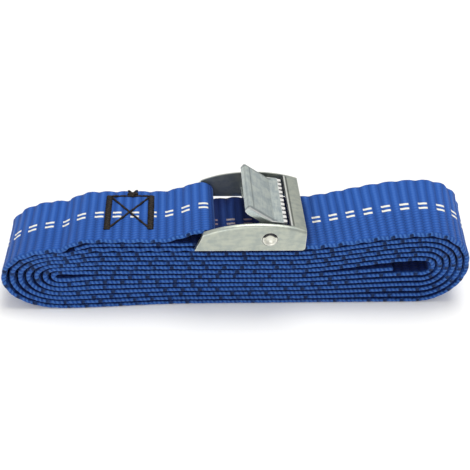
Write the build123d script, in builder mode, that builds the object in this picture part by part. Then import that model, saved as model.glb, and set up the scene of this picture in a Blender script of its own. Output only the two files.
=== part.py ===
from build123d import *
from math import atan2, cos, degrees, hypot, pi, radians, sin
import os

# A light-duty lashing strap: one strip of webbing rolled flat, with a toothed cam buckle
# in the sewn loop at its outer end. Millimetres.
# +X runs along the roll from its closed end to its humped end, +Y is across the webbing,
# +Z is up. The origin is on the resting surface, below the middle of the roll.

# Webbing
WEB_WIDTH = 25.0
WEB_THICK = 1.3
HALF = WEB_THICK / 2

# The roll: flattened turns between two stations, with half ellipses round each end.
LEFT_X = -54.15
RIGHT_X = 56.85
MID_LEFT_X = -42.0
MID_RIGHT_X = 16.0
LAST_LAYER = 6
OUTER_DEPTH_LEFT = 17.1
OUTER_DEPTH_RIGHT = 14.4
DEPTH_STEP_LEFT = 2.48
DEPTH_STEP_RIGHT = 2.15
INNER_END_X = 52.0
# Height of the innermost layer above the middle and the step from layer to layer,
# at the left station, through the middle and at the right station.
UPPER_INNER = (13.4, 13.3, 18.3)
UPPER_STEP = (1.40, 1.80, 1.96)
LOWER_STEP = (1.66, 1.80, 2.30)

# Buckle frame, measured from the rear tip of a flange's lower edge
FRAME_X = -13.65
FRAME_Z = 23.5
FRAME_LENGTH = 33.0
FRAME_WIDTH = 28.6
SHEET = 1.3
FRAME_INNER = FRAME_WIDTH - 2 * SHEET
REAR_HEIGHT = 6.1
REAR_SLANT = 2.6
CREST_HEIGHT = 9.3
FRONT_HEIGHT = 6.9
ANVIL_START = 28.4
ANVIL_LIP_DEPTH = 2.6
BEND_RADIUS = 1.2
CORNER_RADIUS = 1.0

# Rear bar that the webbing loop goes round
BAR_X = 3.15
BAR_Z = 3.7
BAR_RADIUS = 1.1
BAR_CLEARANCE = 0.12

# Pivot pin
PIVOT_X = 22.2
PIVOT_Z = 4.2
PIN_RADIUS = 1.6
PIN_HEAD_RADIUS = 2.3
PIN_RECESS_RADIUS = 2.45
PIN_RECESS_DEPTH = 0.5
PIN_PROUD = 0.35
PIN_RUNNING_GAP = 0.06

# Cam lever: thumb edge, bend and tooth tips of its upper face
THUMB = (15.8, 14.1)
BEND = (23.6, 8.6)
TOOTH_TIP = (27.4, 8.1)
LEVER_WIDTH = 22.9
LEVER_SHEET = 1.2
LEVER_FOLD_RADIUS = 0.9
THUMB_LIP = 2.0
EAR_DEPTH = 2.4
EAR_RUN = 5.5
BOSS_RADIUS = 3.0
TEETH = 11
TOOTH_PITCH = 2.07
TOOTH_DEPTH = 1.1
TOOTH_GAP = 1.05

# Torsion spring
WIRE_RADIUS = 0.4
COIL_RADIUS = 2.25
COIL_PITCH = 0.9
COIL_TURNS = 5.42
COIL_START_Y = 3.0
LEVER_LEG_ANGLE = 141.2
LEVER_LEG_LENGTH = 8.0
FRAME_LEG_END = (15.6, 3.0)
HOOK_RADIUS = 1.2
SPRING_HOLE_RADIUS = 0.55

# Sewn end: the tail lies under the outermost layer, and black thread joins the two
TAIL_Z = 24.1
SEWN_GAP = 0.1
SEWN_Z = TAIL_Z + WEB_THICK + SEWN_GAP
SEWN_START_X = -25.5
SEWN_END_X = -41.5
FRONT_TACK_X = -26.8
REAR_TACK_X = -39.8
TACK_WIDTH = 1.2
TACK_NEAR_Y = -7.0
TACK_FAR_Y = 9.5
THREAD_WIDTH = 0.5
THREAD_HEIGHT = 0.35
TACK_HEIGHT = 0.5
BOBBIN_HEIGHT = 0.3
THREAD_GAP = 0.15

PARTS = "parts"
os.makedirs(PARTS, exist_ok=True)


def ease(start, end, t):
    """Go from start to end with level ends as t goes from 0 to 1."""
    t = min(1.0, max(0.0, t))
    return start + (end - start) * t * t * (3 - 2 * t)


def height_at(heights, x):
    """Height of a layer at x, from its heights at the left, middle and right."""
    left, middle, right = heights
    if x < MID_LEFT_X:
        return ease(left, middle, (x - LEFT_X) / (MID_LEFT_X - LEFT_X))
    return ease(middle, right, (x - MID_RIGHT_X) / (RIGHT_X - MID_RIGHT_X))


def upper_heights(layer):
    """Heights of a layer above the middle; layer 0 is the outermost."""
    return [z + (LAST_LAYER - layer) * step for z, step in zip(UPPER_INNER, UPPER_STEP)]


def lower_heights(layer):
    """Heights of a layer below the middle; layer 1 lies on the resting surface."""
    return [HALF + (layer - 1) * step for step in LOWER_STEP]


def run_to(heights, end_x):
    """Points of a layer's run from the left station to end_x, closer where it rises."""
    left = [LEFT_X + (MID_LEFT_X - LEFT_X) * i / 4 for i in range(4)]
    middle = [MID_LEFT_X + (MID_RIGHT_X - MID_LEFT_X) * i / 3 for i in range(3)]
    right = [MID_RIGHT_X + (RIGHT_X - MID_RIGHT_X) * i / 6 for i in range(6)]
    xs = [x for x in left + middle + right if x < end_x - 2] + [end_x]
    return [(x, height_at(heights, x)) for x in xs]


def turn(x, depth, start_z, end_z, steps=10):
    """Points of the half ellipse from start_z to end_z; a negative depth turns left."""
    middle = (start_z + end_z) / 2
    rise = (end_z - start_z) / 2
    angles = [pi * i / steps for i in range(steps + 1)]
    return [(x + depth * sin(a), middle - rise * cos(a)) for a in angles]


def webbing_spans():
    """The webbing's middle line, span by span, from its sewn end to its inner end."""
    bar_x = FRAME_X + BAR_X
    loop_top = FRAME_Z + BAR_Z + BAR_RADIUS + BAR_CLEARANCE + HALF
    loop_radius = (loop_top - TAIL_Z) / 2
    outermost_left = upper_heights(0)[0]
    spans = [
        [(-48.9, 22.5), (-47.4, 23.1), (-45.7, 23.62), (-43.7, 23.98), (SEWN_END_X, TAIL_Z)],
        [(SEWN_END_X, TAIL_Z), (SEWN_START_X, TAIL_Z)],
        [(SEWN_START_X, TAIL_Z), (bar_x, TAIL_Z)],
        turn(bar_x, loop_radius, TAIL_Z, loop_top),
        [
            (bar_x, loop_top),
            (-12.6, 28.85),
            (-15.0, 28.1),
            (-17.6, 27.1),
            (-20.3, 26.15),
            (-23.0, 25.6),
            (SEWN_START_X, SEWN_Z),
        ],
        [(SEWN_START_X, SEWN_Z), (SEWN_END_X, SEWN_Z)],
        [
            (SEWN_END_X, SEWN_Z),
            (-44.2, 25.42),
            (-46.6, 25.12),
            (-48.9, 24.4),
            (-50.8, 23.35),
            (-52.4, 22.3),
            (LEFT_X, outermost_left),
        ],
    ]
    for layer in range(LAST_LAYER + 1):
        upper = upper_heights(layer)
        lower = lower_heights(layer + 1)
        depth = OUTER_DEPTH_LEFT - layer * DEPTH_STEP_LEFT
        spans.append(turn(LEFT_X, -depth, upper[0], lower[0]))
        if layer == 0:
            spans.append([(LEFT_X, HALF), (RIGHT_X, HALF)])
        elif layer == LAST_LAYER:
            spans.append(run_to(lower, INNER_END_X))
            break
        else:
            spans.append(run_to(lower, RIGHT_X))
        next_upper = upper_heights(layer + 1)
        depth = OUTER_DEPTH_RIGHT - layer * DEPTH_STEP_RIGHT
        spans.append(turn(RIGHT_X, depth, lower[2], next_upper[2]))
        spans.append(run_to(next_upper, RIGHT_X)[::-1])
    return spans


def directions(spans):
    """The unit direction of travel at each point of each span."""
    line = [p for span in spans for p in span[:-1]] + [spans[-1][-1]]
    found = []
    for i in range(len(line)):
        before = line[max(0, i - 1)]
        after = line[min(len(line) - 1, i + 1)]
        dx = after[0] - before[0]
        dz = after[1] - before[1]
        found.append((dx / hypot(dx, dz), dz / hypot(dx, dz)))
    shared = []
    start = 0
    for span in spans:
        shared.append(found[start : start + len(span)])
        start += len(span) - 1
    return shared


def side_of(spans, ways, distance):
    """The same spans moved sideways by distance, with the direction at each one's ends."""
    moved = []
    for span, way in zip(spans, ways):
        points = [
            (x - dz * distance, z + dx * distance) for (x, z), (dx, dz) in zip(span, way)
        ]
        moved.append((points, way[0], way[-1]))
    return moved


def span_edge(points, start_way, end_way):
    """One span of the webbing's outline, straight or curved."""
    if len(points) == 2:
        return Edge.make_line(*points)
    return Edge.make_spline(
        [Vector(*point) for point in points], tangents=[Vector(*start_way), Vector(*end_way)]
    )


def backwards(points, start_way, end_way):
    """The same span, travelled from its end to its start."""
    return points[::-1], (-end_way[0], -end_way[1]), (-start_way[0], -start_way[1])


def level(spans, ways):
    """Level directions at both ends of every straight run, so that it stays flat."""
    for i, span in enumerate(spans):
        if len(span) == 2:
            way = (1.0, 0.0) if span[1][0] > span[0][0] else (-1.0, 0.0)
            ways[i] = [way, way]
            ways[i - 1][-1] = way
            ways[i + 1][0] = way


def strip_length(spans):
    """Length along the middle line, in millimetres."""
    total = 0.0
    for span in spans:
        for (x1, z1), (x2, z2) in zip(span, span[1:]):
            total += hypot(x2 - x1, z2 - z1)
    return total


def make_webbing():
    """The whole strip: sewn tail, loop, outermost layer and all the turns of the roll."""
    spans = webbing_spans()
    ways = directions(spans)
    level(spans, ways)
    there = [span_edge(*span) for span in side_of(spans, ways, HALF)]
    back = [span_edge(*backwards(*span)) for span in reversed(side_of(spans, ways, -HALF))]
    inner_end = Edge.make_line(there[-1] @ 1, back[0] @ 0)
    sewn_end = Edge.make_line(back[-1] @ 1, there[0] @ 0)
    outline = Wire(there + [inner_end] + back + [sewn_end])
    profile = Plane.XZ * Face(outline)
    with BuildPart() as webbing:
        extrude(profile, amount=WEB_WIDTH / 2, both=True, clean=False)
    print("webbing length along its middle line: %.0f mm" % strip_length(spans))
    return webbing


# The side view of the buckle: local x along the strap, local y up, seen from -Y.
SIDE = Plane(origin=(FRAME_X, 0, FRAME_Z), x_dir=(1, 0, 0), z_dir=(0, -1, 0))


def flange_outline(drop):
    """Side outline of the frame with its upper edge lowered by drop."""
    rear = (REAR_SLANT, REAR_HEIGHT - drop)
    front = (FRAME_LENGTH, FRONT_HEIGHT - drop)
    Line((0, 0), rear)
    Spline(rear, (10.5, 8.6 - drop), (18.2, CREST_HEIGHT - drop), (26, 8.75 - drop), front)
    Line(front, (FRAME_LENGTH, 0))
    Line((FRAME_LENGTH, 0), (0, 0))


def make_frame():
    """Folded frame: two flanges, the anvil bridge with its turned lip, and the rear bar."""
    with BuildPart() as frame:
        with BuildSketch(SIDE):
            with BuildLine():
                flange_outline(0)
            make_face()
        extrude(amount=FRAME_WIDTH / 2, both=True)
        top_edges = frame.edges().group_by(Axis.Z)[-1]
        fillet(top_edges, radius=BEND_RADIUS)
        front_corners = (
            frame.edges()
            .filter_by(Axis.Y)
            .filter_by_position(Axis.Z, FRAME_Z - 0.1, FRAME_Z + 0.1)
        )
        fillet(front_corners.sort_by(Axis.X)[-1], radius=CORNER_RADIUS)
        # Hollow below the bridge, open at both ends
        with BuildSketch(SIDE):
            with BuildLine():
                Line((-1, -1), (-1, 4))
                Line((-1, 4), (REAR_SLANT, REAR_HEIGHT - SHEET))
                Spline(
                    (REAR_SLANT, REAR_HEIGHT - SHEET),
                    (10.5, 8.6 - SHEET),
                    (18.2, CREST_HEIGHT - SHEET),
                    (26, 8.75 - SHEET),
                    (FRAME_LENGTH, FRONT_HEIGHT - SHEET),
                )
                Line((FRAME_LENGTH, FRONT_HEIGHT - SHEET), (FRAME_LENGTH + 1, 5.2))
                Line((FRAME_LENGTH + 1, 5.2), (FRAME_LENGTH + 1, -1))
                Line((FRAME_LENGTH + 1, -1), (-1, -1))
            make_face()
        extrude(amount=FRAME_INNER / 2, both=True, mode=Mode.SUBTRACT)
        # Window for the lever and the webbing
        with BuildSketch(Plane.XY.offset(FRAME_Z)):
            with Locations((FRAME_X + (ANVIL_START - 2) / 2, 0)):
                Rectangle(ANVIL_START + 2, FRAME_INNER)
        extrude(amount=CREST_HEIGHT + 1, mode=Mode.SUBTRACT)
        # Lip turned down from the bridge's inner edge
        with BuildSketch(SIDE):
            with Locations((ANVIL_START + SHEET / 2, 8.05 - ANVIL_LIP_DEPTH / 2)):
                RectangleRounded(SHEET, ANVIL_LIP_DEPTH, SHEET / 2 - 0.05)
        extrude(amount=FRAME_INNER / 2, both=True)
        # Rear bar
        with BuildSketch(SIDE):
            with Locations((BAR_X, BAR_Z)):
                Circle(BAR_RADIUS)
        extrude(amount=FRAME_INNER / 2 + SHEET / 2, both=True)
        # Pin holes, with a shallow recess for each peened end
        with BuildSketch(SIDE):
            with Locations((PIVOT_X, PIVOT_Z)):
                Circle(PIN_RADIUS)
        extrude(amount=FRAME_WIDTH, both=True, mode=Mode.SUBTRACT)
        for side in (-1, 1):
            with BuildSketch(SIDE.offset(side * (FRAME_WIDTH / 2 - PIN_RECESS_DEPTH))):
                with Locations((PIVOT_X, PIVOT_Z)):
                    Circle(PIN_RECESS_RADIUS)
            extrude(amount=side * SHEET, mode=Mode.SUBTRACT)
        # Hole for the spring's hooked leg in the far flange
        with BuildSketch(SIDE):
            with Locations(FRAME_LEG_END):
                Circle(SPRING_HOLE_RADIUS)
        extrude(amount=-FRAME_WIDTH, mode=Mode.SUBTRACT)
    return frame


def make_pin():
    """Rivet through both flanges, with a domed peened end in each recess."""
    shaft_end = FRAME_WIDTH / 2 - PIN_RECESS_DEPTH
    head_height = PIN_RECESS_DEPTH + PIN_PROUD
    with BuildPart() as pin:
        with BuildSketch(SIDE):
            with Locations((PIVOT_X, PIVOT_Z)):
                Circle(PIN_RADIUS)
        extrude(amount=shaft_end, both=True)
        for side in (-1, 1):
            with BuildSketch(SIDE.offset(side * shaft_end)):
                with Locations((PIVOT_X, PIVOT_Z)):
                    Circle(PIN_HEAD_RADIUS)
            extrude(amount=side * head_height)
        rims = pin.edges().filter_by(GeomType.CIRCLE)
        fillet(rims.sort_by(Axis.Y)[0], radius=head_height * 0.7)
        rims = pin.edges().filter_by(GeomType.CIRCLE)
        fillet(rims.sort_by(Axis.Y)[-1], radius=head_height * 0.7)
    return pin


def plate_point(along, below):
    """A point of the thumb plate: along from the thumb edge, and below its upper face."""
    run = hypot(BEND[0] - THUMB[0], BEND[1] - THUMB[1])
    dx = (BEND[0] - THUMB[0]) / run
    dz = (BEND[1] - THUMB[1]) / run
    return (THUMB[0] + dx * along + dz * below, THUMB[1] + dz * along - dx * below)


def make_lever():
    """Folded cam lever: thumb plate with a turned lip, two ears, and a row of teeth."""
    under_teeth = (TOOTH_TIP[0] - 0.15, TOOTH_TIP[1] - LEVER_SHEET)
    ear_front = (PIVOT_X + BOSS_RADIUS, PIVOT_Z)
    ear_rear = (PIVOT_X - BOSS_RADIUS, PIVOT_Z)
    with BuildPart() as lever:
        # Outer side outline, the ears' shape
        with BuildSketch(SIDE):
            with BuildLine():
                Polyline(
                    ear_rear,
                    plate_point(EAR_RUN, EAR_DEPTH),
                    plate_point(1.2, EAR_DEPTH),
                    plate_point(0, THUMB_LIP),
                    THUMB,
                    BEND,
                    TOOTH_TIP,
                    under_teeth,
                    (PIVOT_X + BOSS_RADIUS + 0.2, 6.9),
                    ear_front,
                )
                ThreePointArc(ear_front, (PIVOT_X, PIVOT_Z - BOSS_RADIUS), ear_rear)
            make_face()
        extrude(amount=LEVER_WIDTH / 2, both=True)
        # Soften the folds along the thumb edge and along both sides of the thumb plate
        thumb_z = FRAME_Z + THUMB[1]
        thumb_edges = lever.edges().filter_by_position(Axis.Z, FRAME_Z + 8.5, thumb_z + 0.1)
        side_folds = [
            e
            for e in thumb_edges
            if abs(e.center().Z - (FRAME_Z + (THUMB[1] + BEND[1]) / 2)) < 0.3
            and abs(e.center().X - (FRAME_X + (THUMB[0] + BEND[0]) / 2)) < 0.3
        ]
        thumb_fold = [e for e in thumb_edges if abs(e.center().Z - thumb_z) < 0.05]
        fillet(side_folds + thumb_fold, radius=LEVER_FOLD_RADIUS)
        # Hollow between the ears
        with BuildSketch(SIDE):
            with BuildLine():
                Polyline(
                    plate_point(LEVER_SHEET, LEVER_SHEET),
                    (BEND[0] - 0.35, BEND[1] - LEVER_SHEET + 0.02),
                    (30, 6.55),
                    (30, -3),
                    plate_point(LEVER_SHEET, 18),
                    close=True,
                )
            make_face()
        extrude(amount=LEVER_WIDTH / 2 - LEVER_SHEET, both=True, mode=Mode.SUBTRACT)
        # Gaps between the teeth
        with BuildSketch(Plane.XY.offset(FRAME_Z + 6)):
            root_x = FRAME_X + TOOTH_TIP[0] - TOOTH_DEPTH
            for gap in range(-1, TEETH):
                centre_y = (gap - (TEETH - 2) / 2) * TOOTH_PITCH
                with BuildLine():
                    Polyline(
                        (root_x, centre_y - TOOTH_GAP / 4),
                        (root_x + TOOTH_DEPTH + 0.2, centre_y - TOOTH_GAP / 2),
                        (root_x + TOOTH_DEPTH + 0.2, centre_y + TOOTH_GAP / 2),
                        (root_x, centre_y + TOOTH_GAP / 4),
                        close=True,
                    )
                make_face()
        extrude(amount=3, mode=Mode.SUBTRACT)
        # Running holes for the pin
        with BuildSketch(SIDE):
            with Locations((PIVOT_X, PIVOT_Z)):
                Circle(PIN_RADIUS + PIN_RUNNING_GAP)
        extrude(amount=LEVER_WIDTH, both=True, mode=Mode.SUBTRACT)
    return lever


def make_spring():
    """Torsion spring on the pin: a coil, a leg under the thumb plate, a hooked leg."""
    pivot = Vector(FRAME_X + PIVOT_X, COIL_START_Y, FRAME_Z + PIVOT_Z)
    start_angle = radians(LEVER_LEG_ANGLE - 90)
    coil_plane = Plane(
        origin=pivot, x_dir=(cos(start_angle), 0, sin(start_angle)), z_dir=(0, 1, 0)
    )
    coil = coil_plane * Edge.make_helix(COIL_PITCH, COIL_PITCH * COIL_TURNS, COIL_RADIUS)
    leg_tip = coil @ 0 - coil % 0 * LEVER_LEG_LENGTH
    coil_end = coil @ 1
    hook = Vector(FRAME_X + FRAME_LEG_END[0], coil_end.Y, FRAME_Z + FRAME_LEG_END[1])
    hook_way = (hook - coil_end).normalized()
    bend_start = hook - hook_way * HOOK_RADIUS
    bend_end = hook + Vector(0, HOOK_RADIUS, 0)
    hole_end = Vector(hook.X, FRAME_WIDTH / 2 - WIRE_RADIUS, hook.Z)
    wire = Wire(
        [
            Edge.make_line(leg_tip, coil @ 0),
            coil,
            Edge.make_line(coil_end, bend_start),
            Edge.make_tangent_arc(bend_start, hook_way, bend_end),
            Edge.make_line(bend_end, hole_end),
        ]
    )
    with BuildPart() as spring:
        with BuildSketch(Plane(origin=leg_tip, z_dir=coil @ 0 - leg_tip)):
            Circle(WIRE_RADIUS)
        sweep(path=wire)
    return spring


def bar_outline(x):
    """Outline of a dense bar of stitches across the webbing."""
    middle_y = (TACK_NEAR_Y + TACK_FAR_Y) / 2
    with BuildSketch() as bar:
        with Locations((x, middle_y)):
            RectangleRounded(TACK_WIDTH, TACK_FAR_Y - TACK_NEAR_Y, TACK_WIDTH / 2 - 0.05)
    return bar.sketch


def line_outline(start, end):
    """Outline of a thin straight run of stitches between two places on the webbing."""
    middle = ((start[0] + end[0]) / 2, (start[1] + end[1]) / 2)
    length = hypot(end[0] - start[0], end[1] - start[1])
    angle = degrees(atan2(end[1] - start[1], end[0] - start[0]))
    with BuildSketch() as run:
        with Locations(Location(middle, (0, 0, angle))):
            SlotOverall(length, THREAD_WIDTH)
    return run.sketch


def cross_outlines():
    """Both diagonals between the two bar tacks, stopping just short of them."""
    left = REAR_TACK_X + TACK_WIDTH / 2 + THREAD_GAP
    right = FRONT_TACK_X - TACK_WIDTH / 2 - THREAD_GAP
    near = TACK_NEAR_Y + 0.4
    far = TACK_FAR_Y - 1.0
    return [line_outline((left, near), (right, far)), line_outline((left, far), (right, near))]


UPPER_SIDE = Location((0, 0, SEWN_Z + HALF))
UNDER_SIDE = Location((0, 0, TAIL_Z - HALF - BOBBIN_HEIGHT))


def make_bar_tack(x):
    """One bar tack on the upper side."""
    with BuildPart() as tack:
        extrude(UPPER_SIDE * bar_outline(x), amount=TACK_HEIGHT)
        fillet(tack.faces().sort_by(Axis.Z)[-1].edges(), radius=0.25)
    return tack


def make_cross():
    """The X between the bar tacks on the upper side."""
    with BuildPart() as cross:
        for outline in cross_outlines():
            extrude(UPPER_SIDE * outline, amount=THREAD_HEIGHT)
    return cross


def make_edge_run():
    """The thin run that joins the far ends of the bar tacks."""
    left = REAR_TACK_X + TACK_WIDTH / 2 + THREAD_GAP
    right = FRONT_TACK_X - TACK_WIDTH / 2 - THREAD_GAP
    outline = line_outline((left, TACK_FAR_Y - 0.3), (right, TACK_FAR_Y - 0.3))
    with BuildPart() as run:
        extrude(UPPER_SIDE * outline, amount=THREAD_HEIGHT)
    return run


def make_knot():
    """The tangle at the middle of the edge run, with two short thread tails."""
    x = (REAR_TACK_X + FRONT_TACK_X) / 2 + 0.6
    with BuildSketch() as tangle:
        with Locations((x, TACK_FAR_Y + 0.85)):
            Ellipse(1.7, 0.75)
    tails = [
        line_outline((x - 0.2, TACK_FAR_Y + 0.9), (x - 1.5, TACK_FAR_Y + 2.7)),
        line_outline((x + 0.2, TACK_FAR_Y + 0.9), (x + 1.6, TACK_FAR_Y + 2.7)),
    ]
    with BuildPart() as knot:
        extrude(UPPER_SIDE * tangle.sketch, amount=TACK_HEIGHT)
        for tail in tails:
            extrude(UPPER_SIDE * tail, amount=THREAD_HEIGHT)
    return knot


def make_bobbin_thread():
    """The under side of the stitching, below the sewn tail."""
    with BuildPart() as bobbin:
        for outline in [bar_outline(FRONT_TACK_X), bar_outline(REAR_TACK_X)] + cross_outlines():
            extrude(UNDER_SIDE * outline, amount=BOBBIN_HEIGHT)
    return bobbin


def save(built, name):
    """Label a finished piece and write its STEP file."""
    built.part.label = name
    export_step(built.part, os.path.join(PARTS, name + ".step"))


save(make_webbing(), "webbing")
save(make_frame(), "buckle_frame")
save(make_pin(), "pivot_pin")
save(make_lever(), "cam_lever")
save(make_spring(), "torsion_spring")
save(make_bar_tack(REAR_TACK_X), "rear_bar_tack")
save(make_bar_tack(FRONT_TACK_X), "front_bar_tack")
save(make_cross(), "cross_stitches")
save(make_edge_run(), "edge_stitch_run")
save(make_knot(), "thread_knot")
save(make_bobbin_thread(), "bobbin_thread")
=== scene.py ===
from math import cos, floor, hypot, pi, radians, sin

import bmesh
import bpy
from mathutils import Matrix, Vector, noise


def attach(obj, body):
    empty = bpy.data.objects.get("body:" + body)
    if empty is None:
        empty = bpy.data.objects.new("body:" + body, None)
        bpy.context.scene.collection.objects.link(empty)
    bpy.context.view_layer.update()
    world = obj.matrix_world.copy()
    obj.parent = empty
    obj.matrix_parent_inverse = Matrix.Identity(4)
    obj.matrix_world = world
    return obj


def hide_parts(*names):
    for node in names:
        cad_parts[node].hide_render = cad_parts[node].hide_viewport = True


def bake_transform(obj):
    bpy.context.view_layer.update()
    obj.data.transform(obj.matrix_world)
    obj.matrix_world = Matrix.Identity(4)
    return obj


bl_info = {
    "name": "Cam-Buckle Lashing Strap",
    "version": (1, 0, 0),
    "blender": (4, 5, 0),
    "location": "View3D > Sidebar > Lashing Strap",
    "description": "Builds a rolled lashing strap with its webbing, sewing and cam buckle",
    "category": "Object",
}

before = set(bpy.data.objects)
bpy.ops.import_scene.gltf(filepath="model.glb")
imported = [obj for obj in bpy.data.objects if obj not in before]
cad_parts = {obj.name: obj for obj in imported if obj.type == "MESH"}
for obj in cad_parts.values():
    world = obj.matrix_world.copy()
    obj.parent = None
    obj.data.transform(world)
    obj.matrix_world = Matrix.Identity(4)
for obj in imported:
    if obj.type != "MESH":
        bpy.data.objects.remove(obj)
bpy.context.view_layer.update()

MM = 0.001

# Where the webbing runs, in millimetres, as in the CAD part
WEB_WIDTH = 25.0
WEB_THICK = 1.3
HALF = WEB_THICK / 2
LEFT_X = -54.15
RIGHT_X = 56.85
MID_LEFT_X = -42.0
MID_RIGHT_X = 16.0
LAST_LAYER = 6
OUTER_DEPTH_LEFT = 17.1
OUTER_DEPTH_RIGHT = 14.4
DEPTH_STEP_LEFT = 2.48
DEPTH_STEP_RIGHT = 2.15
INNER_END_X = 48.0
UPPER_INNER = (13.4, 13.3, 18.3)
UPPER_STEP = (1.40, 1.80, 1.96)
LOWER_STEP = (1.66, 1.80, 2.30)
BAR_LINE_X = -10.5
TAIL_Z = 24.1
LOOP_TOP_Z = 29.07
SEWN_Z = 25.5
SEWN_START_X = -25.5
SEWN_END_X = -41.5
EDGE_BULGE = 0.12
DASH_SHIFT = 0.9
TRACER_OFFSET = 0.98
FLOAT_ROW_PITCH = 1.15
LOOP_TO_SEAM = [
    (-10.5, 29.07),
    (-12.6, 28.85),
    (-15.0, 28.1),
    (-17.6, 27.1),
    (-20.3, 26.15),
    (-23.0, 25.6),
    (-25.5, 25.5),
]
TAIL_END = [(-48.9, 22.5), (-47.4, 23.1), (-45.7, 23.62), (-43.7, 23.98), (-41.5, 24.1)]
SEAM_TO_TURN = [
    (-41.5, 25.5),
    (-44.2, 25.42),
    (-46.6, 25.12),
    (-48.9, 24.4),
    (-50.8, 23.35),
    (-52.4, 22.3),
    (-54.15, 21.8),
]

# Sewing, in millimetres
FRONT_TACK_X = -26.8
REAR_TACK_X = -39.8
TACK_NEAR_Y = -7.0
TACK_FAR_Y = 9.5
UPPER_FACE_Z = SEWN_Z + HALF
UNDER_FACE_Z = TAIL_Z - HALF

# Buckle, in millimetres: the frame's lip behind the teeth, and the painted shade line inside the
# lever's lip
ANVIL_LIP_X = 14.75
LIP_LINE = 18.1

# Torsion spring, in millimetres
PIVOT_X = 8.55
PIVOT_Z = 27.7
COIL_RADIUS = 2.25
COIL_PITCH = 0.9
COIL_TURNS = 5.42
COIL_START_Y = 3.0
LEVER_LEG_ANGLE = 141.2
LEVER_LEG_LENGTH = 8.0
FRAME_LEG_X = 1.95
FRAME_LEG_Z = 26.5
FRAME_LEG_END_Y = 13.9
HOOK_RADIUS = 1.2


def colour_property(name, description, default):
    """A colour setting."""
    return bpy.props.FloatVectorProperty(
        name=name,
        description=description,
        subtype="COLOR",
        size=3,
        min=0.0,
        max=1.0,
        default=default,
    )


class StrapSettings(bpy.types.PropertyGroup):
    """Sizes and colours of the webbing and the sewing."""

    webbing_colour: colour_property(
        "Webbing colour",
        "Dyed colour of the webbing yarn",
        (0.010, 0.062, 0.300),
    )
    tracer_colour: colour_property(
        "Tracer colour",
        "Colour of the two tracer yarns woven along the middle",
        (0.80, 0.80, 0.74),
    )
    rib_pitch: bpy.props.FloatProperty(
        name="Rib pitch",
        description="Distance from one cross rib of the weave to the next",
        default=2.68 * MM,
        min=0.5 * MM,
        subtype="DISTANCE",
        unit="LENGTH",
    )
    rib_height: bpy.props.FloatProperty(
        name="Rib height",
        description="How far the cross ribs stand out of the webbing's face",
        default=0.17 * MM,
        min=0.0,
        subtype="DISTANCE",
        unit="LENGTH",
    )
    edge_wave: bpy.props.FloatProperty(
        name="Edge wave",
        description="How far the woven edges swell at every second rib",
        default=0.55 * MM,
        min=0.0,
        subtype="DISTANCE",
        unit="LENGTH",
    )
    thread_colour: colour_property(
        "Thread colour",
        "Colour of the sewing thread",
        (0.008, 0.007, 0.007),
    )
    thread_radius: bpy.props.FloatProperty(
        name="Thread radius",
        description="Radius of one sewing thread",
        default=0.36 * MM,
        min=0.1 * MM,
        subtype="DISTANCE",
        unit="LENGTH",
    )


class BuckleSettings(bpy.types.PropertyGroup):
    """Finish of the stamped buckle and its wire."""

    frame_colour: colour_property(
        "Frame plating",
        "Zinc plating of the buckle frame",
        (0.43, 0.46, 0.42),
    )
    lever_colour: colour_property(
        "Lever plating",
        "Zinc plating of the cam lever",
        (0.52, 0.58, 0.59),
    )
    wire_radius: bpy.props.FloatProperty(
        name="Wire radius",
        description="Radius of the torsion spring's wire",
        default=0.4 * MM,
        min=0.1 * MM,
        subtype="DISTANCE",
        unit="LENGTH",
    )


class StageSettings(bpy.types.PropertyGroup):
    """Camera and studio."""

    elevation: bpy.props.FloatProperty(
        name="Camera elevation",
        description="How far the camera looks down",
        default=radians(38.99),
        subtype="ANGLE",
    )
    heading: bpy.props.FloatProperty(
        name="Camera heading",
        description="How far the camera is turned towards +X",
        default=radians(5.12),
        subtype="ANGLE",
    )
    roll: bpy.props.FloatProperty(
        name="Camera roll",
        description="Turn of the camera about its own line of sight",
        default=radians(3.0),
        subtype="ANGLE",
    )
    lens: bpy.props.FloatProperty(
        name="Lens",
        description="Focal length in millimetres on a 36 mm wide sensor",
        default=64.7,
        min=10.0,
    )
    floor_colour: colour_property(
        "Floor colour",
        "Colour of the plain floor",
        (0.96, 0.96, 0.95),
    )


# ---------------------------------------------------------------- shader helpers


def wire(tree, value, socket):
    """Link a socket to an input, or set the input to a plain value."""
    if isinstance(value, bpy.types.NodeSocket):
        tree.links.new(value, socket)
    else:
        socket.default_value = value


def calc(tree, operation, *values):
    """A Math node's output."""
    node = tree.nodes.new("ShaderNodeMath")
    node.operation = operation
    for value, socket in zip(values, node.inputs):
        wire(tree, value, socket)
    return node.outputs[0]


def times(tree, first, second):
    """Two values multiplied."""
    return calc(tree, "MULTIPLY", first, second)


def step_up(tree, value, low, high):
    """0 below low, 1 above high and a smooth rise between them."""
    node = tree.nodes.new("ShaderNodeMapRange")
    node.interpolation_type = "SMOOTHSTEP"
    wire(tree, value, node.inputs["Value"])
    wire(tree, low, node.inputs["From Min"])
    wire(tree, high, node.inputs["From Max"])
    return node.outputs["Result"]


def spread(tree, value, low, high):
    """A value from 0 to 1 turned into one from low to high."""
    node = tree.nodes.new("ShaderNodeMapRange")
    wire(tree, value, node.inputs["Value"])
    wire(tree, low, node.inputs["To Min"])
    wire(tree, high, node.inputs["To Max"])
    return node.outputs["Result"]


def mix(tree, share, first, second, blend_type="MIX"):
    """A colour between first and second."""
    node = tree.nodes.new("ShaderNodeMix")
    node.data_type = "RGBA"
    node.blend_type = blend_type
    wire(tree, share, node.inputs[0])
    wire(tree, first, node.inputs[6])
    wire(tree, second, node.inputs[7])
    return node.outputs[2]


def speckle(tree, vector, scale, detail=2.0, roughness=0.5):
    """A noise texture's value."""
    node = tree.nodes.new("ShaderNodeTexNoise")
    wire(tree, vector, node.inputs["Vector"])
    node.inputs["Scale"].default_value = scale
    node.inputs["Detail"].default_value = detail
    node.inputs["Roughness"].default_value = roughness
    return node.outputs["Fac"]


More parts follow.
